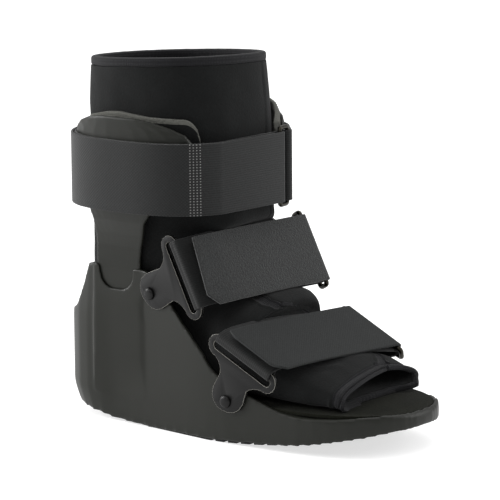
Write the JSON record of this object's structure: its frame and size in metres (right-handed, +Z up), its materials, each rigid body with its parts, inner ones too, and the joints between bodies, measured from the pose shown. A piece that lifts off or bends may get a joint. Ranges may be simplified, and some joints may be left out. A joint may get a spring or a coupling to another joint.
{
  "type": "medical walking boot",
  "caption": "Short walking boot: rockered moulded base with two padded uprights, an open-toed padded liner and three webbing straps through metal rings.",
  "frame": {"origin": "under the middle of the boot's length and width, at floor level", "axes": "+Z up, toe along -Y, heel along +Y, the outer side of the boot at -X"},
  "size_m": [0.1485, 0.293, 0.272],
  "materials": {
    "tread_rubber": "matt black moulded rubber",
    "base_plastic": "satin dark grey moulded plastic",
    "insole_felt": "dark olive felt",
    "upright_plastic": "satin dark grey plastic",
    "pad_foam": "speckled grey foam",
    "liner_fabric": "matt black loop fabric",
    "binding_fabric": "black knitted binding",
    "bracket_plastic": "smooth dark grey plastic",
    "rivet_plastic": "smooth black",
    "strap_webbing": "black woven webbing",
    "ring_metal": "polished darkened steel"
  },
  "bodies": {
    "root": {"outsole": "tread_rubber", "base_shell": "base_plastic", "insole": "insole_felt", "upright_outer": "upright_plastic", "upright_inner": "upright_plastic", "upright_pad_outer": "pad_foam", "upright_pad_inner": "pad_foam", "liner": "liner_fabric", "rim_binding": "binding_fabric", "toe_binding": "binding_fabric", "instep_bracket_outer": "bracket_plastic", "instep_rivet_outer": "rivet_plastic", "instep_bracket_inner": "bracket_plastic", "instep_rivet_inner": "rivet_plastic", "forefoot_bracket_outer": "bracket_plastic", "forefoot_rivet_outer": "rivet_plastic", "forefoot_bracket_inner": "bracket_plastic", "forefoot_rivet_inner": "rivet_plastic", "instep_strap": "strap_webbing", "instep_ring": "ring_metal", "instep_ring_loop": "strap_webbing", "forefoot_strap": "strap_webbing", "forefoot_ring": "ring_metal", "forefoot_ring_loop": "strap_webbing", "calf_strap": "strap_webbing", "calf_ring": "ring_metal"}
  },
  "joints": []
}
